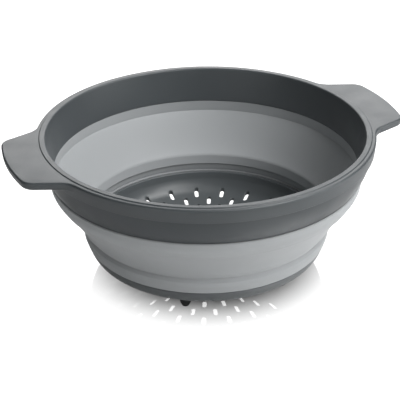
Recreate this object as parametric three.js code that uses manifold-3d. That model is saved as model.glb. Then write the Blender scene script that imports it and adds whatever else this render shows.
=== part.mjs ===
// A collapsible colander: a plastic rim with two handles and a plastic strainer base, joined by a
// silicone wall that folds inside out so that the rim sinks round the base.
// Millimetres, +Z up. The origin is on the table under the middle of the base, handles along X.
import * as THREE from "three";
import { mergeVertices } from "three/addons/utils/BufferGeometryUtils.js";
import Module from "manifold-3d";

const wasm = await Module();
wasm.setup();

// Fits, shared by every piece
const clearance = 0.3;
const cutOverrun = 2;
const mergeTolerance = 0.0001;

// Rim frame: a raised inner lip, a flat top, a skirt outside and a tapered wall inside
const rimInnerRadius = 120;
const rimWallHeight = 26.9;
const rimWallTaper = 5.2;
const rimWallTopThickness = 2.2;
const rimWallTipThickness = 1.2;
const lipWidth = 4.6;
const lipRise = 0.6;
const lipRound = 1.4;
const rimTopThickness = 2.6;
const skirtHeight = 10.9;
const skirtTopThickness = 1.9;
const skirtFootThickness = 1.1;
const rimEdgeRound = 1.5;

// Handles: flat plates that widen into the rim
const handleLength = 24.4;
const handleEndWidth = 73.6;
const handleSideAngle = THREE.MathUtils.degToRad(20);
const handleThickness = 5.5;
const handleDrop = 0.2;
const handleEdge = 1.5;
const handleCornerRadius = 11;
const handleFlareRadius = 16;
const handleFlareSpan = 11;

// Clamp band: the lower outside ring that traps the wall's top bead against the rim wall
const bandHeight = 20.5;
const bandTopThickness = 1.4;
const bandFootThickness = 1;
const bandSlopeShare = 0.36;

// Silicone wall: top bead, shoulder, fold zone and collar
const beadHeight = 14.4;
const neckThickness = 1.2;
const stripInset = 0.3;
const ledgeWidth = 1.1;
const shoulderThickness = 3.1;
const shoulderDrop = 9.1;
const wallThickness = 2.3;
const foldHeight = 39;
const foldReach = 22.8;
const foldRings = 5;
const shoulderPullShare = 0.194;
const creasePullUpShare = 0.556;
const creasePullOutShare = 0.349;
const collarThickness = 1.8;
const collarFootThickness = 1.2;
const collarBulgeTaper = 0.5;
const collarTaper = 2.4;
const collarHeight = 12.3;

// Strainer base: a bowl with a dished floor and a lip that the collar grips
const baseStep = 0.4;
const baseClearance = 5.7;
const baseHeight = 19.5;
const baseLipHeight = 6.8;
const baseLipThickness = 2.4;
const baseLipRound = 0.8;
const snapRidgeRise = 0.4;
const snapRidgeHeight = 0.7;
const snapRidgeShare = 0.5;
const baseWallThickness = 2.7;
const floorThickness = 2.2;
const floorFlatRadius = 38;
const floorRise = 7.9;
const cornerWidth = 8.6;
const cornerInset = 1.4;
const cornerPullOutShare = 0.737;
const cornerPullUpShare = 0.187;

// Drain slots: rows of radial slots, each row staggered against the next
const slotWidth = 3.2;
const slotLength = 9.6;
const slotPitch = 8.6;
const slotMargin = 5.6;
const slotCounts = [24, 24, 24, 24, 12, 12];
const slotStaggerShares = [0, 0.5, 0, 0.5, 0, 0.5];

// Foot pads: rubber studs pressed into bosses on the underside
const footSwing = THREE.MathUtils.degToRad(56.25);
const footHeight = 7;
const footInset = 22.6;
const bossRadius = 2.5;
const footRadius = 4.6;
const footTipRadius = 2.4;
const footBulgeShare = 0.83;
const footBulgeHeightShare = 0.38;
const stemRadius = 1.4;
const stemHeight = 1.3;

// Fineness
const turnSegments = 48;
const footSegments = 16;
const arcSteps = 2;
const lipArcSteps = 2;
const cornerArcSteps = 3;
const floorSteps = 3;
const curveSteps = 24;
const sectionSteps = 2;

// Heights, from the table upwards
const underside = baseClearance;
const floorEdge = underside + floorRise;
const baseShoulder = underside + baseHeight;
const baseLipTop = baseShoulder + baseLipHeight;
const creaseHeight = baseShoulder + collarHeight;
const shoulderHeight = creaseHeight + foldHeight;
const rimWallTip = shoulderHeight + shoulderDrop;
const rimTop = rimWallTip + rimWallHeight;
const flatTop = rimTop - lipRise;
const underFlange = flatTop - rimTopThickness;
const skirtFoot = rimTop - skirtHeight;
const bandFoot = skirtFoot - bandHeight;
const beadTop = rimWallTip + beadHeight;
const handleFoot = flatTop - handleDrop - handleThickness;
const bandTop = handleFoot - clearance;

// Radii, from the rim's inner edge
const throatRadius = rimInnerRadius - rimWallTaper;
const stripRadius = throatRadius + stripInset;
const shoulderRadius = stripRadius + shoulderThickness;
const bandFootInner = stripRadius + neckThickness + clearance;
const bandTopInner = bandFootInner + bandSlopeShare * bandHeight;
const bandTopOuter = bandTopInner + bandTopThickness;
const skirtInner = bandTopOuter + clearance;
const rimOuterRadius = skirtInner + skirtTopThickness;
const collarOuter = shoulderRadius - foldReach;
const collarInner = collarOuter - collarThickness;
const collarFootOuter = collarOuter - collarTaper;
const collarFootInner = collarFootOuter - collarFootThickness;
const baseOuter = collarFootOuter - baseStep;
const baseLipOuter = collarInner - clearance;
const baseLipInner = baseLipOuter - baseLipThickness;
const lipFootOuter = collarFootInner - clearance;
const floorRadius = baseOuter - cornerWidth;
const slotOuterRadius = baseOuter - slotMargin;
const footCircle = baseOuter - footInset;

const materials = {
  rim: new THREE.MeshStandardMaterial({ color: 0x55595c, roughness: 0.5, metalness: 0 }),
  wall: new THREE.MeshStandardMaterial({ color: 0xa3a8ab, roughness: 0.6, metalness: 0 }),
  foot: new THREE.MeshStandardMaterial({ color: 0x1c1d1f, roughness: 0.8, metalness: 0 }),
};

// A point of a turned section: radius, then height.
function at(radius, height) {
  return new THREE.Vector2(radius, height);
}

// Points of an arc round a centre, from one angle to another, both ends included.
function arc(centre, radius, from, to, steps) {
  const points = [];
  for (let i = 0; i <= steps; i++) {
    const angle = THREE.MathUtils.lerp(from, to, i / steps);
    points.push(at(centre.x + radius * Math.cos(angle), centre.y + radius * Math.sin(angle)));
  }
  return points;
}

// The line between two points, read off at a height.
function radiusAt(low, high, height) {
  return low.x + ((high.x - low.x) * (height - low.y)) / (high.y - low.y);
}

// A ring or dish turned round the Z axis from a section that runs anticlockwise.
function turned(section, segments) {
  const closed = section[0].x === 0 ? section : [...section, section[0]];
  const geometry = new THREE.LatheGeometry(closed, segments);
  geometry.rotateX(Math.PI / 2);
  return geometry;
}

// A closed body of a geometry, with the seams of its surface joined.
function solidOf(geometry) {
  const bare = geometry.clone();
  bare.deleteAttribute("normal");
  bare.deleteAttribute("uv");
  const merged = mergeVertices(bare, mergeTolerance);
  const vertProperties = merged.attributes.position.array;
  const triVerts = new Uint32Array(merged.index.array);
  return new wasm.Manifold(new wasm.Mesh({ numProp: 3, vertProperties, triVerts }));
}

function geometryOf(solid) {
  const mesh = solid.getMesh();
  const geometry = new THREE.BufferGeometry();
  geometry.setAttribute("position", new THREE.BufferAttribute(mesh.vertProperties, 3));
  geometry.setIndex(new THREE.BufferAttribute(mesh.triVerts, 1));
  geometry.computeVertexNormals();
  return geometry;
}

const group = new THREE.Group();

function addPiece(name, geometry, material) {
  const mesh = new THREE.Mesh(geometry, material);
  mesh.name = name;
  group.add(mesh);
}

// The rim frame's turned section.
function rimSection() {
  const lipCentre = at(rimInnerRadius + lipRound, rimTop - lipRound);
  const edgeCentre = at(rimOuterRadius - rimEdgeRound, flatTop - rimEdgeRound);
  return [
    at(throatRadius, rimWallTip),
    at(throatRadius + rimWallTipThickness, rimWallTip),
    at(rimInnerRadius + rimWallTopThickness, underFlange),
    at(skirtInner, underFlange),
    at(skirtInner, skirtFoot),
    at(skirtInner + skirtFootThickness, skirtFoot),
    ...arc(edgeCentre, rimEdgeRound, 0, Math.PI / 2, lipArcSteps),
    at(rimInnerRadius + lipWidth, flatTop),
    at(rimInnerRadius + lipWidth - lipRise, rimTop),
    ...arc(lipCentre, lipRound, Math.PI / 2, Math.PI, lipArcSteps),
  ];
}

// Draws a rounded corner of an outline, between the straight runs from before and to after.
function roundCorner(shape, before, corner, after, radius) {
  const back = before.clone().sub(corner).normalize();
  const ahead = after.clone().sub(corner).normalize();
  const half = Math.acos(back.dot(ahead)) / 2;
  const inward = back.clone().add(ahead).normalize();
  const centre = inward.multiplyScalar(radius / Math.sin(half)).add(corner);
  const start = back.multiplyScalar(radius / Math.tan(half)).add(corner);
  const end = ahead.multiplyScalar(radius / Math.tan(half)).add(corner);
  const from = Math.atan2(start.y - centre.y, start.x - centre.x);
  const to = Math.atan2(end.y - centre.y, end.x - centre.x);
  const clockwise = Math.sin(to - from) < 0;
  shape.absarc(centre.x, centre.y, radius, from, to, clockwise);
}

// The plan of one handle, on the +X side.
function handleOutline() {
  const reach = rimOuterRadius + handleLength;
  const rootOuter = rimOuterRadius - handleEdge;
  const rootInner = rimInnerRadius + rimWallTopThickness / 2;
  const halfEnd = handleEndWidth / 2;
  const end = at(Math.sqrt(reach * reach - halfEnd * halfEnd), halfEnd);
  const side = at(-Math.cos(handleSideAngle), Math.sin(handleSideAngle));
  const along = end.dot(side);
  const toRim = -along - Math.sqrt(along * along - reach * reach + rimOuterRadius * rimOuterRadius);
  const neck = side.clone().multiplyScalar(toRim).add(end);
  const neckAngle = Math.atan2(neck.y, neck.x);
  const rootAngle = neckAngle + handleFlareSpan / rimOuterRadius;
  const root = at(rootOuter * Math.cos(rootAngle), rootOuter * Math.sin(rootAngle));
  const endAngle = Math.atan2(end.y, end.x);
  const tangent = at(end.x + Math.sin(endAngle), end.y - Math.cos(endAngle));
  const mirror = (point) => at(point.x, -point.y);
  const shape = new THREE.Shape();
  shape.moveTo(root.x, -root.y);
  roundCorner(shape, mirror(root), mirror(neck), mirror(end), handleFlareRadius);
  roundCorner(shape, mirror(neck), mirror(end), mirror(tangent), handleCornerRadius);
  const cornerTurn = Math.PI / 2 - handleSideAngle - endAngle;
  const turn = endAngle - (handleCornerRadius * Math.tan(cornerTurn / 2)) / reach;
  shape.absarc(0, 0, reach, -turn, turn, false);
  roundCorner(shape, tangent, end, neck, handleCornerRadius);
  roundCorner(shape, end, neck, root, handleFlareRadius);
  shape.lineTo(root.x, root.y);
  shape.absarc(0, 0, rootInner, rootAngle, -rootAngle, true);
  return shape;
}

// An outline as plain points, with no point on top of the one before it.
function plainOutline(shape, steps) {
  const points = shape.getPoints(steps);
  const distinct = points.filter((point, i) => point.distanceTo(points.at(i - 1)) > mergeTolerance);
  return new THREE.Shape(distinct);
}

function handlePlate() {
  const plate = new THREE.ExtrudeGeometry(plainOutline(handleOutline(), cornerArcSteps), {
    depth: handleThickness - 2 * handleEdge,
    bevelThickness: handleEdge,
    bevelSize: handleEdge,
    bevelOffset: -handleEdge,
    bevelSegments: lipArcSteps,
  });
  plate.translate(0, 0, handleFoot + handleEdge);
  return plate;
}

function rimFrame() {
  const plate = handlePlate();
  const right = solidOf(plate);
  const left = solidOf(plate.clone().rotateZ(Math.PI));
  return geometryOf(solidOf(turned(rimSection(), turnSegments)).add(right).add(left));
}

// The clamp band's section: a tapered skirt with an upright lip inside the rim's own skirt.
function bandSection() {
  return [
    at(bandFootInner, bandFoot),
    at(bandFootInner + bandFootThickness, bandFoot),
    at(bandTopOuter, skirtFoot),
    at(bandTopOuter, bandTop),
    at(bandTopInner, bandTop),
    at(bandTopInner, skirtFoot),
  ];
}

// The outside of the fold zone, from the crease up to the shoulder.
function foldCurve() {
  const shoulder = at(shoulderRadius, shoulderHeight);
  const crease = at(collarOuter, creaseHeight);
  const shoulderPull = at(shoulderRadius, shoulderHeight - shoulderPullShare * foldHeight);
  const creasePull = at(
    collarOuter + creasePullOutShare * foldReach,
    creaseHeight + creasePullUpShare * foldHeight,
  );
  return new THREE.CubicBezierCurve(crease, creasePull, shoulderPull, shoulder);
}

const foldOutside = foldCurve().getPoints(curveSteps);

// The inside of the fold zone: the outside moved in by the wall's thickness.
const foldInside = foldOutside.map((point, i) => {
  const tangent = foldCurve().getTangent(i / curveSteps);
  return at(point.x - wallThickness * tangent.y, point.y + wallThickness * tangent.x);
});

// The height of a curve of the fold zone at a radius. Both curves widen as they rise.
function heightAt(curve, radius) {
  const beyond = curve.findIndex((point) => point.x >= radius);
  const next = beyond < 0 ? curve.length - 1 : Math.max(1, beyond);
  const low = curve[next - 1];
  const high = curve[next];
  return low.y + ((high.y - low.y) * (radius - low.x)) / (high.x - low.x);
}

// Points of a curve of the fold zone at evenly spaced radii, both ends included.
function stretch(curve, from, to, steps) {
  const points = [];
  for (let i = 0; i <= steps; i++) {
    const radius = THREE.MathUtils.lerp(from, to, i / steps);
    points.push(at(radius, heightAt(curve, radius)));
  }
  return points;
}

// The wall's top: a wedge bead between rim wall and clamp band, a neck and the shoulder.
function wallTopSection() {
  const wallTip = at(throatRadius + rimWallTipThickness, rimWallTip);
  const wallRoot = at(rimInnerRadius + rimWallTopThickness, underFlange);
  const bandLow = at(bandFootInner, bandFoot);
  const bandHigh = at(bandTopInner, skirtFoot);
  return [
    ...stretch(foldOutside, stripRadius, shoulderRadius, sectionSteps),
    at(stripRadius + neckThickness + ledgeWidth, bandFoot - clearance),
    at(stripRadius + neckThickness, bandFoot - clearance),
    at(stripRadius + neckThickness, bandFoot),
    at(radiusAt(bandLow, bandHigh, beadTop) - clearance, beadTop),
    at(radiusAt(wallTip, wallRoot, beadTop) + clearance, beadTop),
    at(wallTip.x + clearance, rimWallTip),
    at(wallTip.x + clearance, rimWallTip - clearance),
    at(stripRadius, rimWallTip - clearance),
  ];
}

// One ring of the fold zone, between two upright cuts.
function foldRingSection(inner, outer) {
  return [
    ...stretch(foldOutside, inner, outer, sectionSteps),
    ...stretch(foldInside, outer, inner, sectionSteps),
  ];
}

function foldRingSections() {
  const innermost = collarOuter + clearance;
  const outermost = stripRadius - clearance;
  const width = (outermost - innermost - (foldRings - 1) * clearance) / foldRings;
  const sections = [];
  for (let i = 0; i < foldRings; i++) {
    const outer = outermost - i * (width + clearance);
    sections.push(foldRingSection(outer - width, outer));
  }
  return sections;
}

const ridgeMiddle = baseShoulder + snapRidgeShare * baseLipHeight;

// The snap ridge up a slanted face, or the groove for it, as points that run upwards.
function ridge(foot, top, rise, halfHeight) {
  const face = (out, height) => at(radiusAt(foot, top, height) + out, height);
  return [
    face(0, ridgeMiddle - halfHeight - rise),
    face(rise, ridgeMiddle - halfHeight),
    face(rise, ridgeMiddle + halfHeight),
    face(0, ridgeMiddle + halfHeight + rise),
  ];
}

// The wall's collar, stretched over the base's lip and drawn in towards its foot.
function collarSection() {
  const foot = at(collarFootInner, baseShoulder + clearance);
  const top = at(collarInner, baseLipTop + clearance);
  const groove = ridge(foot, top, snapRidgeRise, snapRidgeHeight / 2 + clearance);
  return [
    foot,
    at(collarFootOuter, baseShoulder + clearance),
    at(collarOuter - collarBulgeTaper, baseLipTop),
    at(collarOuter, creaseHeight),
    ...stretch(foldInside, collarOuter, collarInner, sectionSteps),
    top,
    ...groove.reverse(),
  ];
}

// The dished floor's height over its flat middle, at a radius.
function floorLift(radius) {
  const share = Math.max(0, radius - floorFlatRadius) / (floorRadius - floorFlatRadius);
  return floorRise * share * share;
}

// Points of the floor's underside or top out to a radius, from the middle outwards.
function floorPoints(bottom, radius) {
  const points = [at(0, bottom)];
  for (let i = 0; i <= floorSteps; i++) {
    const reach = THREE.MathUtils.lerp(floorFlatRadius, radius, i / floorSteps);
    points.push(at(reach, bottom + floorLift(reach)));
  }
  return points;
}

// Points of the curved corner from the floor's edge up to the wall, the first left out.
function cornerPoints(start, end) {
  const pull = at(
    start.x + cornerPullOutShare * (end.x - start.x),
    start.y + cornerPullUpShare * (end.y - start.y),
  );
  return new THREE.QuadraticBezierCurve(start, pull, end).getPoints(cornerArcSteps).slice(1);
}

// The base: underside, curved corner, shoulder, lip with its snap ridge, wall and floor.
function baseSection() {
  const under = floorPoints(underside, floorRadius);
  const over = floorPoints(underside + floorThickness, floorRadius - cornerInset);
  const lipFoot = at(lipFootOuter, baseShoulder);
  const lipTop = at(baseLipOuter, baseLipTop);
  const lipOutside = at(baseLipOuter - baseLipRound, baseLipTop - baseLipRound);
  const lipInside = at(baseLipInner + baseLipRound, baseLipTop - baseLipRound);
  const inside = at(baseOuter - baseWallThickness, baseShoulder);
  return [
    ...under,
    ...cornerPoints(under.at(-1), at(baseOuter, baseShoulder)),
    lipFoot,
    ...ridge(lipFoot, lipTop, snapRidgeRise, snapRidgeHeight / 2),
    ...arc(lipOutside, baseLipRound, 0, Math.PI / 2, lipArcSteps),
    ...arc(lipInside, baseLipRound, Math.PI / 2, Math.PI, lipArcSteps),
    ...cornerPoints(over.at(-1), inside).reverse(),
    ...over.reverse(),
  ];
}

// The middles of a slot's two round ends, as radii.
function slotEnds(row) {
  const outer = slotOuterRadius - row * slotPitch - slotWidth / 2;
  return [outer - slotLength + slotWidth, outer];
}

// One slot of a row, along X, tall enough to go through the floor and its curved corner.
function slotCutter(row) {
  const [inner, outer] = slotEnds(row);
  const outline = new THREE.Shape();
  outline.absarc(outer, 0, slotWidth / 2, -Math.PI / 2, Math.PI / 2, false);
  outline.absarc(inner, 0, slotWidth / 2, Math.PI / 2, (3 * Math.PI) / 2, false);
  const depth = baseHeight + 2 * cutOverrun;
  const cutter = new THREE.ExtrudeGeometry(plainOutline(outline, arcSteps), { depth, bevelEnabled: false });
  cutter.translate(0, 0, underside - cutOverrun);
  return cutter;
}

// An upright cylinder between two heights.
function post(place, radius, low, high) {
  const cylinder = new THREE.CylinderGeometry(radius, radius, high - low, footSegments);
  cylinder.rotateX(Math.PI / 2);
  cylinder.translate(place.x, place.y, (low + high) / 2);
  return cylinder;
}

// A foot's boss: an upright cylinder whose top follows the middle of the floor's thickness.
function footBoss(place) {
  const boss = post(place, bossRadius, footHeight, floorEdge);
  const position = boss.attributes.position;
  for (let i = 0; i < position.count; i++) {
    const radius = Math.hypot(position.getX(i), position.getY(i));
    const inFloor = underside + floorLift(radius) + floorThickness / 2;
    if (position.getZ(i) > (footHeight + floorEdge) / 2) position.setZ(i, inFloor);
  }
  return solidOf(boss);
}

// The middle of each foot pad, at the height of the table. Each stands between four slots.
function footPlaces() {
  const angles = [footSwing, Math.PI - footSwing, Math.PI + footSwing, -footSwing];
  return angles.map((angle) => {
    return new THREE.Vector3(footCircle * Math.cos(angle), footCircle * Math.sin(angle), 0);
  });
}

function strainerBase() {
  let base = solidOf(turned(baseSection(), turnSegments));
  slotCounts.forEach((count, row) => {
    for (let i = 0; i < count; i++) {
      const angle = ((i + slotStaggerShares[row]) * 2 * Math.PI) / count;
      base = base.subtract(solidOf(slotCutter(row).rotateZ(angle)));
    }
  });
  const socketTop = footHeight + stemHeight + clearance;
  for (const place of footPlaces()) {
    const socket = post(place, stemRadius + clearance, footHeight - cutOverrun, socketTop);
    base = base.add(footBoss(place)).subtract(solidOf(socket));
  }
  return geometryOf(base);
}

// A foot pad: a blunt cone with a stem that fills its socket.
function footPad(place) {
  const seat = footHeight - clearance;
  const section = [
    at(0, 0),
    at(footTipRadius, 0),
    at(footRadius * footBulgeShare, footHeight * footBulgeHeightShare),
    at(footRadius, seat),
    at(stemRadius, seat),
    at(stemRadius, footHeight + stemHeight),
    at(0, footHeight + stemHeight),
  ];
  const pad = turned(section, footSegments);
  pad.translate(place.x, place.y, 0);
  return pad;
}

addPiece("rim_frame", rimFrame(), materials.rim);
addPiece("clamp_band", turned(bandSection(), turnSegments), materials.rim);
addPiece("wall_bead", turned(wallTopSection(), turnSegments), materials.wall);
foldRingSections().forEach((section, i) => {
  addPiece(`wall_fold_${i + 1}`, turned(section, turnSegments), materials.wall);
});
addPiece("wall_collar", turned(collarSection(), turnSegments), materials.wall);
addPiece("strainer_base", strainerBase(), materials.rim);
footPlaces().forEach((place, i) => {
  addPiece(`foot_pad_${i + 1}`, footPad(place), materials.foot);
});

export default group;
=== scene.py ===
"""A collapsible colander on a white table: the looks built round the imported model.

Metres, +Z up, in the frame of the CAD model. Sizes that the CAD model fixes are read from its
boxes, and the finer ones are named here in millimetres.
"""
import math

import bmesh
import bpy
from mathutils import Matrix, Vector


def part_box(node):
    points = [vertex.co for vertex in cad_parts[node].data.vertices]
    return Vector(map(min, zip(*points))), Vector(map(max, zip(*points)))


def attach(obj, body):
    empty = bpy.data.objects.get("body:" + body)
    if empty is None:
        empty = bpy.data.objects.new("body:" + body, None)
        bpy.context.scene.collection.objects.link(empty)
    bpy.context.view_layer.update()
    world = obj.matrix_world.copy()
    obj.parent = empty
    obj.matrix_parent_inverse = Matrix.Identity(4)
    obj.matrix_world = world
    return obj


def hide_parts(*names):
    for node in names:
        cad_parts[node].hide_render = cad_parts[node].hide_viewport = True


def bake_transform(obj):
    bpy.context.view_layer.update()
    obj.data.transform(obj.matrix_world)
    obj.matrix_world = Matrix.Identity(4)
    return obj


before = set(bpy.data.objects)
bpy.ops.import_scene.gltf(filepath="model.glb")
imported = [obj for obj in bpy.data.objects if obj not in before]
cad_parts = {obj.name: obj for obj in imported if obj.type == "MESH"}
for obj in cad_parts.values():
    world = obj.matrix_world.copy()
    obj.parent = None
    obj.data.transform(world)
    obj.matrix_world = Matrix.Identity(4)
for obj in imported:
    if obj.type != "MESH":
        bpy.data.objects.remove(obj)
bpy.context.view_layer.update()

MM = 0.001
MERGE = 0.001 * MM
CUT_OVERRUN = 1 * MM

# Sizes that the CAD model fixes
rim_low, rim_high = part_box("rim_frame")
band_low, band_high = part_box("clamp_band")
bead_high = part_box("wall_bead")[1]
collar_low, collar_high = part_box("wall_collar")
base_low, base_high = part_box("strainer_base")
CLEARANCE = 0.3 * MM

# Rim frame
RIM_TOP = rim_high.z
RIM_OUTER = rim_high.y
RIM_REACH = rim_high.x
WALL_TIP = rim_low.z
RIM_INNER = RIM_OUTER - 7.58 * MM
THROAT = RIM_INNER - 5.2 * MM
WALL_TIP_THICKNESS = 1.2 * MM
WALL_ROOT_THICKNESS = 2.2 * MM
LIP_WIDTH = 4.6 * MM
LIP_RISE = 0.6 * MM
LIP_ROUND = 1.4 * MM
FLAT_TOP = RIM_TOP - LIP_RISE
UNDER_FLANGE = FLAT_TOP - 2.6 * MM
SKIRT_FOOT = RIM_TOP - 10.9 * MM
SKIRT_TOP_THICKNESS = 1.9 * MM
SKIRT_FOOT_THICKNESS = 1.1 * MM
SKIRT_FOOT_ROUND = 0.9 * MM
SKIRT_INNER = RIM_OUTER - SKIRT_TOP_THICKNESS
EDGE_ROUND = 1.5 * MM
SMALL_ROUND = 0.4 * MM
TINY_ROUND = 0.1 * MM

# Handles
HANDLE_FOOT = FLAT_TOP - 5.7 * MM
HANDLE_HALF_WIDTH = 36.8 * MM
HANDLE_SIDE_ANGLE = math.radians(20)
HANDLE_CORNER = 11 * MM
HANDLE_FLARE = 16 * MM
HANDLE_FILLET = 2 * MM
LEAST_STEP = 0.3 * MM

# Clamp band. Its face bulges, as in the photograph, where the solid's is straight
BAND_FOOT = band_low.z
BAND_TOP = band_high.z
BAND_OUTER = band_high.x
BAND_LIP_THICKNESS = 1.4 * MM
BAND_FOOT_INNER = THROAT + 1.8 * MM
BAND_FOOT_THICKNESS = 1 * MM
BAND_FOOT_PULL_SHARES = (0.54, 0.33)
BAND_TOP_PULL_SHARES = (0.15, 0.33)

# Silicone wall: bead, neck, inner strip and shoulder
BEAD_OUTER = BAND_OUTER - BAND_LIP_THICKNESS - 0.85 * MM
BEAD_INNER = THROAT + 5.25 * MM
BEAD_ROUND = 0.5 * MM
BEAD_FOOT_INNER = THROAT + WALL_TIP_THICKNESS + CLEARANCE
STRIP_RADIUS = THROAT + CLEARANCE
STRIP_TOP_ROUND = 0.2 * MM
STRIP_FOOT_LIFT = 0.3 * MM
STRIP_FOOT_ROUND = 0.3 * MM
NECK_OUTER = STRIP_RADIUS + 1.2 * MM
SHOULDER_RADIUS = STRIP_RADIUS + 3.1 * MM
SHOULDER_HEIGHT = WALL_TIP - 9.1 * MM
SHOULDER_TOP = BAND_FOOT - 1.3 * MM
SHOULDER_ROUND = 0.8 * MM
SHOULDER_SLANT = 0.7 * MM

# Silicone wall: fold zone
COLLAR_OUTER = collar_high.x
COLLAR_FOOT = collar_low.z
CREASE_HEIGHT = COLLAR_FOOT + 12 * MM
STEP_HEIGHT = CREASE_HEIGHT + 8.1 * MM
CREASE_PULL_SHARES = (0.349, 0.556)
SHOULDER_PULL_SHARE = 0.194
RIDGE_HEIGHT = SHOULDER_HEIGHT - 9.6 * MM
RIDGE_RISE = 0.35 * MM
RIDGE_SPREAD = 0.8 * MM
INSIDE_TOP = (STRIP_RADIUS - 0.6 * MM, SHOULDER_HEIGHT - 0.4 * MM)
INSIDE_TOP_PULL = (STRIP_RADIUS - 5 * MM, SHOULDER_HEIGHT - 6.8 * MM)
INSIDE_FOOT_PULL = (COLLAR_OUTER + 7.6 * MM, STEP_HEIGHT + 8.9 * MM)
INSIDE_FOOT = (COLLAR_OUTER - 0.7 * MM, STEP_HEIGHT)

# Silicone wall: groove at the crease, collar, and the recess over the base's lip. Groove and
# recess follow the photograph's dark lines, and are deeper than the solid's. A whole corner is
# (radius, height, rounding)
GROOVE = (COLLAR_OUTER - 1.7 * MM, CREASE_HEIGHT + 0.7 * MM, 0.8 * MM)
COLLAR_BRIM = (COLLAR_OUTER - 0.4 * MM, CREASE_HEIGHT - 2.6 * MM, 2 * MM)
COLLAR_BELLY = (COLLAR_OUTER - 0.45 * MM, base_high.z - 0.5 * MM, 6 * MM)
COLLAR_INNER = COLLAR_OUTER - 1.8 * MM
COLLAR_FOOT_OUTER = COLLAR_OUTER - 2.4 * MM
COLLAR_FOOT_INNER = COLLAR_FOOT_OUTER - 1.2 * MM
COLLAR_FOOT_OUTER_ROUND = 0.5 * MM
COLLAR_FOOT_INNER_ROUND = 0.2 * MM
COLLAR_TOP_ROUND = 0.3 * MM
STEP = (COLLAR_INNER + 0.5 * MM, STEP_HEIGHT - 1.3 * MM, 1.2 * MM)
BROW = (COLLAR_INNER - 0.5 * MM, CREASE_HEIGHT - 0.3 * MM, 0.6 * MM)
RECESS_RADIUS = COLLAR_INNER + 0.9 * MM
RECESS_TOP = CREASE_HEIGHT - 1.3 * MM
RECESS_TOP_ROUND = 0.4 * MM
RECESS_FOOT_ROUND = 0.3 * MM

# Strainer base. LIP_TOP, CORNER_INSET and the slots' outer ends follow the photograph more
# closely than the solid does
UNDERSIDE = base_low.z
BASE_TOP = base_high.z
BASE_SHOULDER = BASE_TOP - 6.8 * MM
BASE_LIP_OUTER = base_high.x
BASE_LIP_INNER = BASE_LIP_OUTER - 2.4 * MM
BASE_LIP_OUTER_ROUND = 0.7 * MM
BASE_LIP_INNER_ROUND = 0.9 * MM
LIP_TOP = BASE_TOP - 1.6 * MM
RECESS_FOOT = LIP_TOP + 0.8 * MM
BASE_OUTER = COLLAR_FOOT_OUTER - 0.4 * MM
BASE_WALL_THICKNESS = 2.7 * MM
FLOOR_THICKNESS = 2.2 * MM
FLOOR_FLAT = 38 * MM
FLOOR_RISE = 7.9 * MM
FLOOR_RADIUS = BASE_OUTER - 8.6 * MM
CORNER_INSET = 5 * MM
CORNER_PULL_SHARES = (0.737, 0.187)
SLOT_WIDTH = 3.2 * MM
SLOT_LENGTH = 8.4 * MM
SLOT_PITCH = 8.6 * MM
SLOT_OUTER = BASE_OUTER - 6.8 * MM
SLOT_EDGE = 0.45 * MM
SLOT_COUNTS = [24, 24, 24, 24, 12, 12]
SLOT_STAGGER_SHARES = [0, 0.5, 0, 0.5, 0, 0.5]

# Feet, and the studs under the base that carry them. A root step is how far the stud has flared
# out, and how far under the floor's face it is there
BOSS_RADIUS = 2.5 * MM
BOSS_ROOT_STEPS = [(0, 0.4 * MM), (0.1 * MM, 0.1 * MM), (0.4 * MM, 0), (0.4 * MM, -0.7 * MM)]
SOCKET_RADIUS = 1.7 * MM
SOCKET_DEPTH = 1.6 * MM
FOOT_HEIGHT = 7 * MM
FOOT_SEAT = FOOT_HEIGHT - 0.1 * MM
FOOT_SEAT_ROUND = 0.3 * MM
FOOT_TIP_SHARE = 0.52
FOOT_TIP_ROUND = 0.5 * MM
FOOT_WAIST_SHARES = (0.83, 0.38)
FOOT_WAIST_ROUND = 1.2 * MM
STEM_RADIUS = SOCKET_RADIUS - CLEARANCE
STEM_ROUND = 0.2 * MM

# Fineness
TURN_STEPS = 240
FOOT_STEPS = 48
ARC_STEPS = 7
CURVE_STEPS = 40
HANDLE_END_STEPS = 8
HANDLE_CORNER_STEPS = 14
HANDLE_SIDE_STEPS = 8
HANDLE_FLARE_STEPS = 16
HANDLE_SHELF_STEPS = 4
RIM_QUARTER_STEPS = 46
BAND_STEPS = 16
GROOVE_STEPS = 4
FLOOR_STEPS = 16
CORNER_STEPS = 14
SLOT_ARC_STEPS = 8
SLOT_EDGE_STEPS = 4
EDGE_LIMIT_SHARE = 0.48
SUPPORT_SHARE = 0.35


def spread(low, high, steps):
    """Evenly spaced values from low to high, both included."""
    return [low + (high - low) * i / steps for i in range(steps + 1)]


def rounded(corners, closed=True, steps=ARC_STEPS):
    """Points of an outline of (radius, height, rounding) corners, each corner drawn as an arc."""
    points = []
    last = len(corners) - 1
    for i, (radius, height, rounding) in enumerate(corners):
        corner = Vector((radius, height))
        if rounding == 0 or (not closed and i in (0, last)):
            points.append(corner)
            continue
        back = Vector(corners[i - 1][:2]) - corner
        ahead = Vector(corners[(i + 1) % len(corners)][:2]) - corner
        half = back.angle(ahead) / 2
        room = EDGE_LIMIT_SHARE * min(back.length, ahead.length)
        reach = min(rounding / math.tan(half), room)
        bend = reach * math.tan(half)
        back.normalize()
        ahead.normalize()
        centre = corner + (back + ahead).normalized() * bend / math.sin(half)
        start = corner + back * reach - centre
        end = corner + ahead * reach - centre
        first = math.atan2(start.y, start.x)
        turn = math.remainder(math.atan2(end.y, end.x) - first, math.tau)
        support = min(SUPPORT_SHARE * bend, room - EDGE_LIMIT_SHARE * reach)
        points.append(centre + start + back * support)
        for share in spread(0, 1, steps):
            angle = first + turn * share
            points.append(centre + bend * Vector((math.cos(angle), math.sin(angle))))
        points.append(centre + end + ahead * support)
    return points


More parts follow.
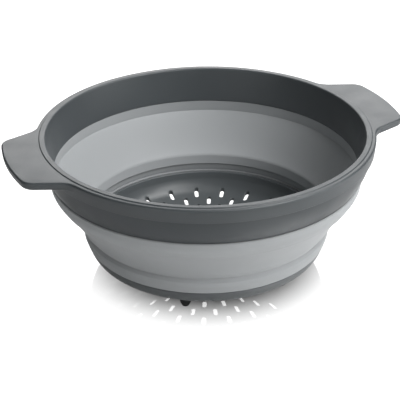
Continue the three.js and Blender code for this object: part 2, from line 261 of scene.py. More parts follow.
def bezier(points, steps=CURVE_STEPS):
    """Points of a cubic curve, both ends included."""
    a, b, c, d = (Vector(p) for p in points)
    found = []
    for t in spread(0, 1, steps):
        s = 1 - t
        found.append(a * s ** 3 + b * 3 * s * s * t + c * 3 * s * t * t + d * t ** 3)
    return found


def as_corners(points):
    return [(p.x, p.y, 0) for p in points]


def object_of(name, mesh):
    """A smooth-shaded object of a bmesh, with its faces pointing out."""
    bmesh.ops.remove_doubles(mesh, verts=mesh.verts, dist=MERGE)
    bmesh.ops.recalc_face_normals(mesh, faces=mesh.faces)
    data = bpy.data.meshes.new(name)
    mesh.to_mesh(data)
    mesh.free()
    data.polygons.foreach_set("use_smooth", [True] * len(data.polygons))
    obj = bpy.data.objects.new(name, data)
    bpy.context.scene.collection.objects.link(obj)
    return obj


def lofted(name, columns):
    """A closed ring through upright closed columns of points. Points on the axis become one."""
    mesh = bmesh.new()
    rows = [[mesh.verts.new(p) for p in column] for column in columns]
    count = len(columns[0])
    for this, after in zip(rows, rows[1:] + rows[:1]):
        for i in range(count):
            j = (i + 1) % count
            if this[i].co.xy.length < MERGE and this[j].co.xy.length < MERGE:
                continue
            mesh.faces.new((this[i], this[j], after[j], after[i]))
    return object_of(name, mesh)


def turned(name, outline, steps=TURN_STEPS):
    """A ring or dish turned round the Z axis."""
    columns = []
    for k in range(steps):
        angle = math.tau * k / steps
        c, s = math.cos(angle), math.sin(angle)
        columns.append([(p.x * c, p.x * s, p.y) for p in outline])
    return lofted(name, columns)


# The handles' plan: outer points of a quarter turn, each with its outward direction

def beside(point, along, off, distance):
    """The point at a distance from the origin, on the line beside point, off to its outer side."""
    start = point + Vector((along.y, -along.x)) * off
    lead = start.dot(along)
    half_chord = math.sqrt(lead * lead - start.length_squared + distance * distance)
    return start + along * min(-lead - half_chord, -lead + half_chord, key=abs)


def arc_points(centre, radius, start, end, steps, sign):
    """(point, outward) pairs on an arc round centre. sign is 1 where the arc bulges outward."""
    first = math.atan2(start.y - centre.y, start.x - centre.x)
    turn = math.remainder(math.atan2(end.y - centre.y, end.x - centre.x) - first, math.tau)
    pairs = []
    for share in spread(0, 1, steps):
        angle = first + turn * share
        way = Vector((math.cos(angle), math.sin(angle)))
        pairs.append((centre + way * radius, way * sign))
    return pairs


def plan_quarter():
    """The rim's outer plan from the middle of a handle round to the middle of the front."""
    half = HANDLE_HALF_WIDTH
    end = Vector((math.sqrt(RIM_REACH ** 2 - half ** 2), half))
    along = Vector((-math.cos(HANDLE_SIDE_ANGLE), math.sin(HANDLE_SIDE_ANGLE)))
    outward = Vector((math.sin(HANDLE_SIDE_ANGLE), math.cos(HANDLE_SIDE_ANGLE)))
    corner = beside(end, along, -HANDLE_CORNER, RIM_REACH - HANDLE_CORNER)
    flare = beside(end, along, HANDLE_FLARE, RIM_OUTER + HANDLE_FLARE)
    corner_start = corner.normalized() * RIM_REACH
    corner_end = corner + outward * HANDLE_CORNER
    flare_start = flare - outward * HANDLE_FLARE
    flare_end = flare.normalized() * RIM_OUTER
    origin = Vector((0, 0))
    end_middle = Vector((RIM_REACH, 0))
    front = Vector((0, RIM_OUTER))
    pairs = arc_points(origin, RIM_REACH, end_middle, corner_start, HANDLE_END_STEPS, 1)
    pairs += arc_points(
        corner, HANDLE_CORNER, corner_start, corner_end, HANDLE_CORNER_STEPS, 1)[1:]
    for share in spread(0, 1, HANDLE_SIDE_STEPS)[1:-1]:
        pairs.append((corner_end.lerp(flare_start, share), outward))
    pairs += arc_points(flare, HANDLE_FLARE, flare_start, flare_end, HANDLE_FLARE_STEPS, -1)
    pairs += arc_points(origin, RIM_OUTER, flare_end, front, RIM_QUARTER_STEPS, 1)[1:]
    return pairs


def plan_ring():
    """The whole outer plan, anticlockwise, from its quarter."""
    quarter = plan_quarter()
    across = [(Vector((-p.x, p.y)), Vector((-n.x, n.y))) for p, n in reversed(quarter[:-1])]
    half = quarter + across
    below = [(Vector((p.x, -p.y)), Vector((n.x, -n.y))) for p, n in reversed(half[1:-1])]
    return half + below


def skirt_line(height):
    """The radius of the skirt's outer face, which tapers towards its foot."""
    top = FLAT_TOP - EDGE_ROUND
    share = (height - SKIRT_FOOT) / (top - SKIRT_FOOT)
    foot = SKIRT_INNER + SKIRT_FOOT_THICKNESS
    return foot + (RIM_OUTER - foot) * share


def rim_inside():
    """The rim's section from the middle of its inner face, round the wall and down the skirt."""
    middle = ((THROAT + RIM_INNER) / 2, (WALL_TIP + FLAT_TOP) / 2, 0)
    skirt_end = HANDLE_FOOT - HANDLE_FILLET - SMALL_ROUND
    return middle, [
        middle,
        (THROAT, WALL_TIP, SMALL_ROUND),
        (THROAT + WALL_TIP_THICKNESS, WALL_TIP, SMALL_ROUND),
        (RIM_INNER + WALL_ROOT_THICKNESS, UNDER_FLANGE, SMALL_ROUND),
        (SKIRT_INNER, UNDER_FLANGE, SMALL_ROUND),
        (SKIRT_INNER, SKIRT_FOOT, SMALL_ROUND),
        (skirt_line(SKIRT_FOOT), SKIRT_FOOT, SKIRT_FOOT_ROUND),
        (skirt_line(skirt_end), skirt_end, 0),
    ]


def rim_shelf(overhang, slant):
    """From the skirt out under the handle and round its edge. slant is the plan's obliqueness."""
    fillet = min(HANDLE_FILLET, overhang / 2)
    fillet_drop = max(fillet, LEAST_STEP)
    edge = min(EDGE_ROUND / slant, overhang / 2)
    edge_rise = max(min(EDGE_ROUND, overhang / 2), LEAST_STEP)
    points = []
    for angle in spread(0, math.pi / 2, ARC_STEPS):
        height = HANDLE_FOOT - fillet_drop * (1 - math.sin(angle))
        points.append((skirt_line(height) + fillet * (1 - math.cos(angle)), height))
    under = skirt_line(HANDLE_FOOT)
    for share in spread(0, 1, HANDLE_SHELF_STEPS)[1:-1]:
        points.append((under + fillet + (overhang - fillet - edge) * share, HANDLE_FOOT))
    for angle in spread(0, math.pi / 2, ARC_STEPS):
        height = HANDLE_FOOT + edge_rise * (1 - math.cos(angle))
        points.append((skirt_line(height) + overhang - edge * (1 - math.sin(angle)), height))
    top_edge = EDGE_ROUND / slant
    for angle in spread(0, math.pi / 2, ARC_STEPS):
        height = FLAT_TOP - EDGE_ROUND * (1 - math.sin(angle))
        points.append((RIM_OUTER + overhang - top_edge * (1 - math.cos(angle)), height))
    return [Vector(p) for p in points]


def rim_columns():
    """The rim's upright sections, one at each point of its plan."""
    middle, inside = rim_inside()
    inner_part = rounded(inside, closed=False)
    lip_part = [
        (RIM_INNER + LIP_WIDTH, FLAT_TOP, SMALL_ROUND),
        (RIM_INNER + LIP_WIDTH - LIP_RISE, RIM_TOP, SMALL_ROUND),
        (RIM_INNER, RIM_TOP, LIP_ROUND),
        middle,
    ]
    columns = []
    for point, outward in plan_ring():
        way = point.normalized()
        shelf = rim_shelf(max(point.length - RIM_OUTER, 0), outward.dot(way))
        top = rounded([(shelf[-1].x, shelf[-1].y, 0)] + lip_part, closed=False)
        section = inner_part + shelf + top[1:-1]
        columns.append([(way.x * p.x, way.y * p.x, p.y) for p in section])
    return columns


def band_outline():
    """The clamp band: a bulging face, and a lip that stands up inside the skirt."""
    foot = Vector((BAND_FOOT_INNER + BAND_FOOT_THICKNESS, BAND_FOOT))
    top = Vector((BAND_OUTER, SKIRT_FOOT))
    reach, rise = top - foot
    foot_out, foot_up = BAND_FOOT_PULL_SHARES
    top_in, top_down = BAND_TOP_PULL_SHARES
    bulge = bezier([
        foot,
        (foot.x + foot_out * reach, foot.y + foot_up * rise),
        (top.x - top_in * reach, top.y - top_down * rise),
        top,
    ], BAND_STEPS)
    return rounded([
        (BAND_FOOT_INNER, BAND_FOOT, SMALL_ROUND),
        (foot.x, foot.y, SMALL_ROUND),
        *as_corners(bulge[1:-1]),
        (BAND_OUTER, SKIRT_FOOT, SMALL_ROUND),
        (BAND_OUTER, BAND_TOP, SMALL_ROUND),
        (BAND_OUTER - BAND_LIP_THICKNESS, BAND_TOP, SMALL_ROUND),
        (BAND_OUTER - BAND_LIP_THICKNESS, SKIRT_FOOT, SMALL_ROUND),
    ])


def fold_outside():
    """The outside of the fold zone, from the crease up to the shoulder, with its faint ridge."""
    reach = SHOULDER_RADIUS - COLLAR_OUTER
    rise = SHOULDER_HEIGHT - CREASE_HEIGHT
    out, up = CREASE_PULL_SHARES
    curve = bezier([
        (COLLAR_OUTER, CREASE_HEIGHT),
        (COLLAR_OUTER + out * reach, CREASE_HEIGHT + up * rise),
        (SHOULDER_RADIUS, SHOULDER_HEIGHT - SHOULDER_PULL_SHARE * rise),
        (SHOULDER_RADIUS, SHOULDER_HEIGHT),
    ])
    for p in curve:
        off = (p.y - RIDGE_HEIGHT) / RIDGE_SPREAD
        p.x += RIDGE_RISE * math.exp(-off * off)
    return curve


def fold_inside():
    """The inside of the fold zone, from the strip's foot down to the step above the collar."""
    return bezier([INSIDE_TOP, INSIDE_TOP_PULL, INSIDE_FOOT_PULL, INSIDE_FOOT])


def wall_outline():
    """The wall, up its outside from the collar's foot to the bead, and down its inside."""
    return rounded([
        (COLLAR_FOOT_INNER, COLLAR_FOOT, COLLAR_FOOT_INNER_ROUND),
        (COLLAR_FOOT_OUTER, COLLAR_FOOT, COLLAR_FOOT_OUTER_ROUND),
        COLLAR_BELLY,
        COLLAR_BRIM,
        GROOVE,
        *as_corners(fold_outside()[GROOVE_STEPS:]),
        (SHOULDER_RADIUS, SHOULDER_TOP, SHOULDER_ROUND),
        (SHOULDER_RADIUS - SHOULDER_SLANT, BAND_FOOT - CLEARANCE, SMALL_ROUND),
        (NECK_OUTER, BAND_FOOT - CLEARANCE, TINY_ROUND),
        (NECK_OUTER, BAND_FOOT, TINY_ROUND),
        (BEAD_OUTER, bead_high.z, BEAD_ROUND),
        (BEAD_INNER, bead_high.z, BEAD_ROUND),
        (BEAD_FOOT_INNER, WALL_TIP, TINY_ROUND),
        (BEAD_FOOT_INNER, WALL_TIP - CLEARANCE, TINY_ROUND),
        (STRIP_RADIUS, WALL_TIP - CLEARANCE, STRIP_TOP_ROUND),
        (STRIP_RADIUS, SHOULDER_HEIGHT + STRIP_FOOT_LIFT, STRIP_FOOT_ROUND),
        *as_corners(fold_inside()),
        STEP,
        BROW,
        (RECESS_RADIUS, RECESS_TOP, RECESS_TOP_ROUND),
        (RECESS_RADIUS, RECESS_FOOT, RECESS_FOOT_ROUND),
        (COLLAR_INNER, LIP_TOP + CLEARANCE, COLLAR_TOP_ROUND),
    ])


def floor_height(bottom, radius):
    """The dished floor's height at a radius, over its flat middle at a height of bottom."""
    share = max(0, radius - FLOOR_FLAT) / (FLOOR_RADIUS - FLOOR_FLAT)
    return bottom + FLOOR_RISE * share * share


def dish_face(bottom, floor_edge, wall_radius):
    """One face of the base, from the middle out over the floor and up its curved corner."""
    points = [Vector((0, bottom))]
    for radius in spread(FLOOR_FLAT, floor_edge, FLOOR_STEPS):
        points.append(Vector((radius, floor_height(bottom, radius))))
    start, end = points[-1], Vector((wall_radius, BASE_SHOULDER))
    out, up = CORNER_PULL_SHARES
    pull = start + Vector((out * (end.x - start.x), up * (end.y - start.y)))
    for share in spread(0, 1, CORNER_STEPS)[1:]:
        points.append(start.lerp(pull, share).lerp(pull.lerp(end, share), share))
    return points


def height_on(face, radius):
    """The height of a face of the base at a radius."""
    for low, high in zip(face, face[1:]):
        if high.x >= radius:
            break
    return low.y + (high.y - low.y) * (radius - low.x) / (high.x - low.x)


DISH_UNDER = dish_face(UNDERSIDE, FLOOR_RADIUS, BASE_OUTER)
DISH_OVER = dish_face(UNDERSIDE + FLOOR_THICKNESS, FLOOR_RADIUS - CORNER_INSET,
                      BASE_OUTER - BASE_WALL_THICKNESS)


def base_outline():
    """The base: its underside, the shoulder under the collar, the lip, and its inside."""
    return rounded([
        *as_corners(DISH_UNDER[:-1]),
        (BASE_OUTER, BASE_SHOULDER, SMALL_ROUND),
        (COLLAR_FOOT_INNER - CLEARANCE, BASE_SHOULDER, TINY_ROUND),
        (BASE_LIP_OUTER, LIP_TOP, BASE_LIP_OUTER_ROUND),
        (BASE_LIP_INNER, LIP_TOP, BASE_LIP_INNER_ROUND),
        *as_corners(reversed(DISH_OVER)),
    ])


FEET = [f"foot_pad_{i}" for i in range(1, 5)]


def foot_place(node):
    """(centre, radius, height) of a foot pad's node."""
    low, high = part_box(node)
    return (low + high) / 2, (high.x - low.x) / 2, high.z


def slot_outline(inner, outer, angle, swell):
    """Plan points of one radial slot with round ends, grown by swell all round."""
    radius = SLOT_WIDTH / 2 + swell
    points = []
    for centre, first in ((outer, -math.pi / 2), (inner, math.pi / 2)):
        for turn in spread(0, math.pi, SLOT_ARC_STEPS):
            points.append(Vector((
                centre + radius * math.cos(first + turn),
                radius * math.sin(first + turn),
            )))
    spin = Matrix.Rotation(angle, 2)
    return [spin @ p for p in points]


def add_cutter(mesh, levels):
    """A closed body through rising rows of points."""
    rows = [[mesh.verts.new(p) for p in level] for level in levels]
    count = len(rows[0])
    for low, high in zip(rows, rows[1:]):
        for i in range(count):
            j = (i + 1) % count
            mesh.faces.new((low[i], low[j], high[j], high[i]))
    mesh.faces.new(list(reversed(rows[0])))
    mesh.faces.new(rows[-1])


def slot_levels(inner, outer, angle):
    """A slot's outlines from under the floor to over it, flared where it meets both faces."""
    def flat(height):
        return [(p.x, p.y, height) for p in slot_outline(inner, outer, angle, SLOT_EDGE)]

    def along(face, swell, lift):
        plan = slot_outline(inner, outer, angle, swell)
        return [(p.x, p.y, height_on(face, p.length) + lift) for p in plan]

    levels = [flat(UNDERSIDE - CUT_OVERRUN)]
    for turn in spread(0, math.pi / 2, SLOT_EDGE_STEPS):
        swell = SLOT_EDGE * (1 - math.sin(turn))
        rise = SLOT_EDGE * (1 - math.cos(turn))
        levels.append(along(DISH_UNDER, swell, rise - MERGE))
    for turn in spread(0, math.pi / 2, SLOT_EDGE_STEPS):
        swell = SLOT_EDGE * (1 - math.cos(turn))
        drop = SLOT_EDGE * (1 - math.sin(turn))
        levels.append(along(DISH_OVER, swell, MERGE - drop))
    levels.append(flat(BASE_SHOULDER))
    return levels


def slot_cutters():
    """Every slot's cutter in one mesh, row by row from the outside in."""
    mesh = bmesh.new()
    for row, count in enumerate(SLOT_COUNTS):
        outer = SLOT_OUTER - row * SLOT_PITCH - SLOT_WIDTH / 2
        inner = outer - SLOT_LENGTH + SLOT_WIDTH
        for i in range(count):
            angle = (i + SLOT_STAGGER_SHARES[row]) * math.tau / count
            add_cutter(mesh, slot_levels(inner, outer, angle))
    return object_of("slot_cutters", mesh)


def circle_of(centre, radius, height):
    return [(centre.x + radius * math.cos(a), centre.y + radius * math.sin(a), height)
            for a in spread(0, math.tau, FOOT_STEPS)[:-1]]


def foot_sockets():
    """Cutters for the holes that the feet's stems sit in."""
    mesh = bmesh.new()
    for node in FEET:
        centre = foot_place(node)[0]
        heights = (UNDERSIDE - CUT_OVERRUN, FOOT_HEIGHT + SOCKET_DEPTH)
        add_cutter(mesh, [circle_of(centre, SOCKET_RADIUS, height) for height in heights])
    return object_of("foot_sockets", mesh)


def foot_bosses():
    """Round studs under the floor that carry the feet, flared where they meet it."""
    mesh = bmesh.new()
    for node in FEET:
        centre = foot_place(node)[0]
        levels = [circle_of(centre, BOSS_RADIUS - SMALL_ROUND, FOOT_HEIGHT),
                  circle_of(centre, BOSS_RADIUS, FOOT_HEIGHT + SMALL_ROUND)]
        for flare, sink in BOSS_ROOT_STEPS:
            level = []
            for x, y, _ in circle_of(centre, BOSS_RADIUS + flare, 0):
                level.append((x, y, height_on(DISH_UNDER, math.hypot(x, y)) - sink))
            levels.append(level)
        add_cutter(mesh, levels)
    return object_of("foot_bosses", mesh)


def carve(base, operation, other):
    """Joins another body to the base or cuts it away, and removes the other body."""
    step = base.modifiers.new("carve", "BOOLEAN")
    step.operation = operation
    step.solver = "EXACT"
    step.object = other
    bpy.context.view_layer.update()
    evaluated = base.evaluated_get(bpy.context.evaluated_depsgraph_get())
    data = bpy.data.meshes.new_from_object(evaluated)
    base.modifiers.clear()
    base.data = data
    bpy.data.objects.remove(other)


def strainer_base():
    """The base, turned, joined to its studs, and cut by its slots and sockets."""
    base = turned("colander_base", base_outline())
    carve(base, "UNION", foot_bosses())
    carve(base, "DIFFERENCE", slot_cutters())
    carve(base, "DIFFERENCE", foot_sockets())
    base.data.polygons.foreach_set("use_smooth", [True] * len(base.data.polygons))
    flat = base.modifiers.new("flat_faces_stay_flat", "WEIGHTED_NORMAL")
    flat.keep_sharp = True
    return base


def foot_pad(node):
    """A domed rubber foot with its stem, in the place of its node."""
    centre, radius, height = foot_place(node)
    waist_out, waist_up = FOOT_WAIST_SHARES
    outline = rounded([
        (0, 0, 0),
        (FOOT_TIP_SHARE * radius, 0, FOOT_TIP_ROUND),
        (waist_out * radius, waist_up * FOOT_HEIGHT, FOOT_WAIST_ROUND),
        (radius, FOOT_SEAT, FOOT_SEAT_ROUND),
        (STEM_RADIUS, FOOT_SEAT, TINY_ROUND),
        (STEM_RADIUS, height, STEM_ROUND),
        (0, height, 0),
    ])
    pad = turned(node.replace("foot", "rubber_foot"), outline, FOOT_STEPS)
    pad.data.transform(Matrix.Translation((centre.x, centre.y, 0)))
    return pad


# Materials: linear colours, roughness from least to most, and grains of (noise scale, depth)

PLASTIC_COLOUR = (0.058, 0.066, 0.071)
# The band's plastic is the rim's grey made darker, as painted shade for where it sits under the
# skirt
BAND_SHADED_COLOUR = (0.036, 0.043, 0.048)
# The base's plastic is the rim's grey made lighter, as painted light on its floor and inner corner
BASE_LIT_COLOUR = (0.09, 0.1, 0.105)
SILICONE_COLOUR = (0.36, 0.375, 0.385)
RUBBER_COLOUR = (0.012, 0.013, 0.014)
RIM_ROUGHNESS = (0.36, 0.44)
BASE_ROUGHNESS = (0.34, 0.42)
SILICONE_ROUGHNESS = (0.5, 0.6)
RUBBER_ROUGHNESS = (0.5, 0.65)
PLASTIC_MOTTLE = 0.03
SILICONE_MOTTLE = 0.02
RUBBER_MOTTLE = 0.1
PLASTIC_GRAIN = (900, 0.012 * MM)
SILICONE_GRAIN = (700, 0.01 * MM)
RUBBER_GRAIN = (800, 0.01 * MM)
PLASTIC_IOR = 1.5
SILICONE_IOR = 1.42
SILICONE_SHEEN = 0.15
SILICONE_SHEEN_ROUGHNESS = 0.5
MOTTLE_SCALE = 9
GLOSS_SCALE = 60
NOISE_DETAIL = 3
NOISE_ROUGHNESS = 0.55
GRAIN_DETAIL = 2
RAMP_ENDS = (0.3, 0.7)
# Painted shade on the silicone: ambient occlusion darkens its colour in folds, creases and
# recesses
PAINTED_SHADE_REACH = 14 * MM
PAINTED_SHADE_DARKEST = 0.35
PAINTED_SHADE_OPENNESS = (0.35, 0.95)
PAINTED_SHADE_SAMPLES = 8


def node_tree(name):
    """A new node material, its tree and its Principled shader."""
    material = bpy.data.materials.new(name)
    material.use_nodes = True
    tree = material.node_tree
    return material, tree, tree.nodes["Principled BSDF"]


def noise(tree, scale, detail=NOISE_DETAIL):
    """Noise fixed to the piece."""
    coordinates = tree.nodes.new("ShaderNodeTexCoord")
    texture = tree.nodes.new("ShaderNodeTexNoise")
    texture.inputs["Scale"].default_value = scale
    texture.inputs["Detail"].default_value = detail
    texture.inputs["Roughness"].default_value = NOISE_ROUGHNESS
    tree.links.new(coordinates.outputs["Object"], texture.inputs["Vector"])
    return texture.outputs["Fac"]


def ramp(tree, value, low, high):
    """A value or colour that follows the noise between two ends."""
    node = tree.nodes.new("ShaderNodeValToRGB")
    for element, position, colour in zip(node.color_ramp.elements, RAMP_ENDS, (low, high)):
        element.position = position
        element.color = colour
    tree.links.new(value, node.inputs["Fac"])
    return node.outputs["Color"]


def ranged(tree, value, source, target):
    """value carried smoothly from one range to another, and clamped there."""
    node = tree.nodes.new("ShaderNodeMapRange")
    node.interpolation_type = "SMOOTHSTEP"
    node.inputs["From Min"].default_value, node.inputs["From Max"].default_value = source
    node.inputs["To Min"].default_value, node.inputs["To Max"].default_value = target
    tree.links.new(value, node.inputs["Value"])
    return node.outputs["Result"]


def shaded(colour, share):
    """A colour made lighter or darker, with its alpha."""
    return [channel * share for channel in colour] + [1]


def moulded(name, colour, roughness, mottle, grain_size):
    """A moulded material: faint broad mottling, uneven gloss and a fine grained surface."""
    material, tree, shader = node_tree(name)
    broad = noise(tree, MOTTLE_SCALE)
    colours = ramp(tree, broad, shaded(colour, 1 - mottle), shaded(colour, 1 + mottle))
    tree.links.new(colours, shader.inputs["Base Color"])
    uneven = noise(tree, GLOSS_SCALE)
    low, high = roughness
    gloss = ramp(tree, uneven, (low, low, low, 1), (high, high, high, 1))
    tree.links.new(gloss, shader.inputs["Roughness"])
    scale, depth = grain_size
    grain = tree.nodes.new("ShaderNodeBump")
    grain.inputs["Strength"].default_value = 1
    grain.inputs["Distance"].default_value = depth
    tree.links.new(noise(tree, scale, GRAIN_DETAIL), grain.inputs["Height"])
    tree.links.new(grain.outputs["Normal"], shader.inputs["Normal"])
    return material, shader


def paint_shade_in_folds(material, shader):
    """Paints shade into the colour: darker where the surface is folded in on itself, by ambient
    occlusion.
    """
    tree = material.node_tree
    hollow = tree.nodes.new("ShaderNodeAmbientOcclusion")
    hollow.inputs["Distance"].default_value = PAINTED_SHADE_REACH
    hollow.samples = PAINTED_SHADE_SAMPLES
    shade = ranged(tree, hollow.outputs["AO"], PAINTED_SHADE_OPENNESS, (PAINTED_SHADE_DARKEST, 1))
    mix = tree.nodes.new("ShaderNodeMix")
    mix.data_type = "RGBA"
    mix.blend_type = "MULTIPLY"
    mix.inputs["Factor"].default_value = 1
    colour = shader.inputs["Base Color"].links[0].from_socket
    tree.links.new(colour, mix.inputs["A"])
    tree.links.new(shade, mix.inputs["B"])
    tree.links.new(mix.outputs["Result"], shader.inputs["Base Color"])


def plastic(name, colour, roughness):
    material, shader = moulded(name, colour, roughness, PLASTIC_MOTTLE, PLASTIC_GRAIN)
    shader.inputs["IOR"].default_value = PLASTIC_IOR
    return material


def silicone():
    material, shader = moulded(
        "grey_silicone", SILICONE_COLOUR, SILICONE_ROUGHNESS, SILICONE_MOTTLE, SILICONE_GRAIN)
    # Painted shade: the wall's colour is darkened in its groove, recess and folds
    paint_shade_in_folds(material, shader)
    shader.inputs["IOR"].default_value = SILICONE_IOR
    shader.inputs["Sheen Weight"].default_value = SILICONE_SHEEN
    shader.inputs["Sheen Roughness"].default_value = SILICONE_SHEEN_ROUGHNESS
    return material


def foot_rubber():
    material, shader = moulded(
        "foot_rubber", RUBBER_COLOUR, RUBBER_ROUGHNESS, RUBBER_MOTTLE, RUBBER_GRAIN)
    shader.inputs["IOR"].default_value = PLASTIC_IOR
    return material


def dress(piece, material):
    """Gives a piece its material."""
    piece.data.materials.clear()
    piece.data.materials.append(material)


plastic_finish = plastic("grey_plastic", PLASTIC_COLOUR, RIM_ROUGHNESS)
# The band's finish: the rim's plastic darkened, as painted shade
shaded_band_finish = plastic("band_plastic_shaded", BAND_SHADED_COLOUR, RIM_ROUGHNESS)
# The base's finish: the rim's plastic lightened, as painted light
lit_base_finish = plastic("base_plastic_lit", BASE_LIT_COLOUR, BASE_ROUGHNESS)
silicone_finish = silicone()
rubber_finish = foot_rubber()

# The pieces, each standing for its nodes; all but the wall ride on a body

rim = lofted("colander_rim", rim_columns())
dress(rim, plastic_finish)
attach(rim, "rim")
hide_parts("rim_frame")

band = turned("rim_clamp_band", band_outline())
dress(band, shaded_band_finish)
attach(band, "rim")
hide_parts("clamp_band")

FOLDS = [f"wall_fold_{i}" for i in range(1, 6)]
wall = turned("silicone_wall", wall_outline())
dress(wall, silicone_finish)
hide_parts("wall_bead", "wall_collar", *FOLDS)
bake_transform(wall)

base = strainer_base()
dress(base, lit_base_finish)
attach(base, "base")
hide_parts("strainer_base")

for node in FEET:
    pad = foot_pad(node)
    dress(pad, rubber_finish)
    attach(pad, "base")
    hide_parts(node)


# Stage: a white table, a white surround and studio lamps

TABLE_HALF_SIDE = 3
TABLE_PALENESS = 0.88
TABLE_ROUGHNESS = 0.05
TABLE_IOR = 2
# The camera sees this share of the table's real shading; the painted shadow of its glow stands in
# for the rest
TABLE_SEEN_SHARE = 0.15
TABLE_GLOSSY_SHARE = 0.06
BEHIND_LEAN = (0.35, 0.8)
LOW_DOWN_LEAN = (0.75, 0.45)
VIEW_SWING = math.radians(20.64)
TO_RIGHT = Vector((math.cos(VIEW_SWING), -math.sin(VIEW_SWING), 0))
TO_BACK = Vector((math.sin(VIEW_SWING), math.cos(VIEW_SWING), 0))
UPWARD = Vector((0, 0, 1))
# The table's painted contact shadow: its glow fades in between these distances from a middle a
# little behind and right of the axis
PAINTED_SHADOW_MIDDLE = TO_BACK * 4 * MM + TO_RIGHT * 2 * MM
PAINTED_SHADOW_START = 58 * MM
PAINTED_SHADOW_END = 109.5 * MM


def worked_out(tree, operation, first, second):
    """The value of a two-sided Math node."""
    node = tree.nodes.new("ShaderNodeMath")
    node.operation = operation
    tree.links.new(first, node.inputs[0])
    tree.links.new(second, node.inputs[1])
    return node.outputs[0]


def larger(tree, first, second):
    return worked_out(tree, "MAXIMUM", first, second)


def times(tree, first, second):
    return worked_out(tree, "MULTIPLY", first, second)


def lean(tree, way):
    """How far a ray's direction leans towards way, from -1 to 1."""
    coordinates = tree.nodes.new("ShaderNodeTexCoord")
    node = tree.nodes.new("ShaderNodeVectorMath")
    node.operation = "DOT_PRODUCT"
    tree.links.new(coordinates.outputs["Generated"], node.inputs[0])
    node.inputs[1].default_value = way
    return node.outputs["Value"]


def surround(fill, back_gloss, side_gloss):
    """White where it is seen, and fill where it only lights.

    Gloss sees it dark grey, palest low down behind the object: side_gloss to back_gloss is taken
    once for the way back and once for the way down, and a smooth curve lowers their product.
    """
    world = bpy.data.worlds.new("white_surround")
    bpy.context.scene.world = world
    world.use_nodes = True
    tree = world.node_tree
    background = tree.nodes["Background"]
    background.inputs["Color"].default_value = (1, 1, 1, 1)
    path = tree.nodes.new("ShaderNodeLightPath")
    behind = ranged(tree, lean(tree, TO_BACK), BEHIND_LEAN, (side_gloss, back_gloss))
    low_down = ranged(tree, lean(tree, UPWARD), LOW_DOWN_LEAN, (side_gloss, back_gloss))
    gloss = times(tree, behind, low_down)
    seen = larger(tree, path.outputs["Is Camera Ray"], path.outputs["Is Transmission Ray"])
    seen = larger(tree, seen, times(tree, path.outputs["Is Glossy Ray"], gloss))
    tree.links.new(ranged(tree, seen, (0, 1), (fill, 1)), background.inputs["Strength"])


def glow_with_painted_shadow(tree, path):
    """How strongly the table glows: white where it is seen, less and less towards the base, which
    paints the contact shadow.
    """
    coordinates = tree.nodes.new("ShaderNodeTexCoord")
    away = tree.nodes.new("ShaderNodeVectorMath")
    away.operation = "DISTANCE"
    tree.links.new(coordinates.outputs["Object"], away.inputs[0])
    away.inputs[1].default_value = PAINTED_SHADOW_MIDDLE
    level = ranged(tree, away.outputs["Value"], (PAINTED_SHADOW_START, PAINTED_SHADOW_END), (0, 1))
    glossy = ranged(tree, path.outputs["Is Glossy Ray"], (0, 1), (0, TABLE_GLOSSY_SHARE))
    seen = larger(tree, path.outputs["Is Camera Ray"], path.outputs["Is Transmission Ray"])
    return times(tree, level, larger(tree, seen, glossy))


def table_finish():
    """Polished white with the object's real shadow and reflection, shown faintly under its glow,
    which fades towards the base as a painted contact shadow.
    """
    material, tree, shader = node_tree("white_table")
    path = tree.nodes.new("ShaderNodeLightPath")
    seen_paleness = TABLE_PALENESS * TABLE_SEEN_SHARE
    paleness = ranged(
        tree, path.outputs["Is Camera Ray"], (0, 1), (TABLE_PALENESS, seen_paleness))
    tree.links.new(paleness, shader.inputs["Base Color"])
    shader.inputs["Roughness"].default_value = TABLE_ROUGHNESS
    shader.inputs["IOR"].default_value = TABLE_IOR
    glow = tree.nodes.new("ShaderNodeEmission")
    tree.links.new(glow_with_painted_shadow(tree, path), glow.inputs["Strength"])
    add = tree.nodes.new("ShaderNodeAddShader")
    tree.links.new(shader.outputs[0], add.inputs[0])
    tree.links.new(glow.outputs[0], add.inputs[1])
    tree.links.new(add.outputs[0], tree.nodes["Material Output"].inputs["Surface"])
    return material


def table():
    mesh = bmesh.new()
    corners = []
    for x, y in ((-1, -1), (1, -1), (1, 1), (-1, 1)):
        corners.append(mesh.verts.new((x * TABLE_HALF_SIDE, y * TABLE_HALF_SIDE, 0)))
    mesh.faces.new(corners)
    top = object_of("table", mesh)
    top.data.materials.append(table_finish())


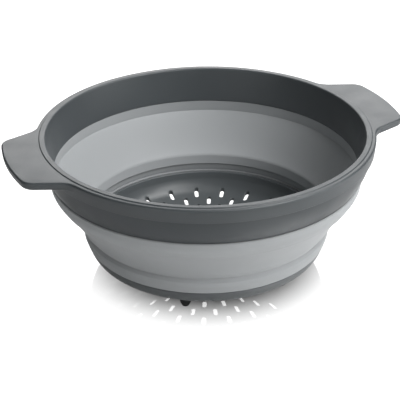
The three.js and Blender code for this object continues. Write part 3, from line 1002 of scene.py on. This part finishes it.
def lamp(name, swing, elevation, distance, size, power):
    """A softbox facing the object, in degrees, metres and watts.

    swing is 0 behind the object and 90 to its right, as the camera sees it.
    """
    light = bpy.data.lights.new(name, "AREA")
    light.shape = "RECTANGLE"
    light.size, light.size_y = size
    light.energy = power
    obj = bpy.data.objects.new(name, light)
    bpy.context.scene.collection.objects.link(obj)
    turn, lift = math.radians(swing), math.radians(elevation)
    way = TO_BACK * math.cos(turn) * math.cos(lift) + TO_RIGHT * math.sin(turn) * math.cos(lift)
    way += UPWARD * math.sin(lift)
    obj.location = way * distance
    obj.rotation_euler = (-way).to_track_quat("-Z", "Y").to_euler()
    obj.visible_camera = False


surround(fill=0.03, back_gloss=0.4, side_gloss=0.16)
table()
lamp("key_softbox", 95, 62, 1.3, (0.7, 0.7), 12.5)
lamp("low_right_softbox", 100, 16, 1.2, (0.8, 0.4), 4)
lamp("back_softbox", 0, 30, 1.4, (1.4, 0.7), 10)
lamp("right_front_softbox", 140, 40, 1.4, (0.7, 0.7), 8.5)
lamp("left_front_softbox", 212, 12, 1.5, (1, 0.5), 2.5)

# Camera, fitted to the rim, band and base circles of the photograph

VIEW_DISTANCE = 0.909852
VIEW_ELEVATION = math.radians(24.815)
VIEW_ROLL = -0.0113
AIM_SIDE = -0.004668
AIM_DROP = -0.06066
VIEW_LENS = 108.93
SENSOR_WIDTH = 36


def photo_camera():
    """A camera that looks at the rim's middle from in front, aimed a little past it."""
    data = bpy.data.cameras.new("photo_camera")
    data.lens = VIEW_LENS
    data.sensor_width = SENSOR_WIDTH
    camera = bpy.data.objects.new("photo_camera", data)
    bpy.context.scene.collection.objects.link(camera)
    rim_middle = Vector((0, 0, RIM_TOP))
    towards = UPWARD * math.sin(VIEW_ELEVATION) - TO_BACK * math.cos(VIEW_ELEVATION)
    place = rim_middle + towards * VIEW_DISTANCE
    aim = rim_middle + TO_RIGHT * AIM_SIDE + UPWARD * AIM_DROP
    ahead = (aim - place).normalized()
    right = ahead.cross(UPWARD).normalized()
    up = right.cross(ahead)
    turn, lift = math.cos(VIEW_ROLL), math.sin(VIEW_ROLL)
    rolled_right = right * turn + up * lift
    rolled_up = up * turn - right * lift
    axes = Matrix((rolled_right, rolled_up, -ahead)).transposed()
    camera.matrix_world = Matrix.Translation(place) @ axes.to_4x4()
    bpy.context.scene.camera = camera


photo_camera()
bpy.context.scene.view_settings.view_transform = "Standard"
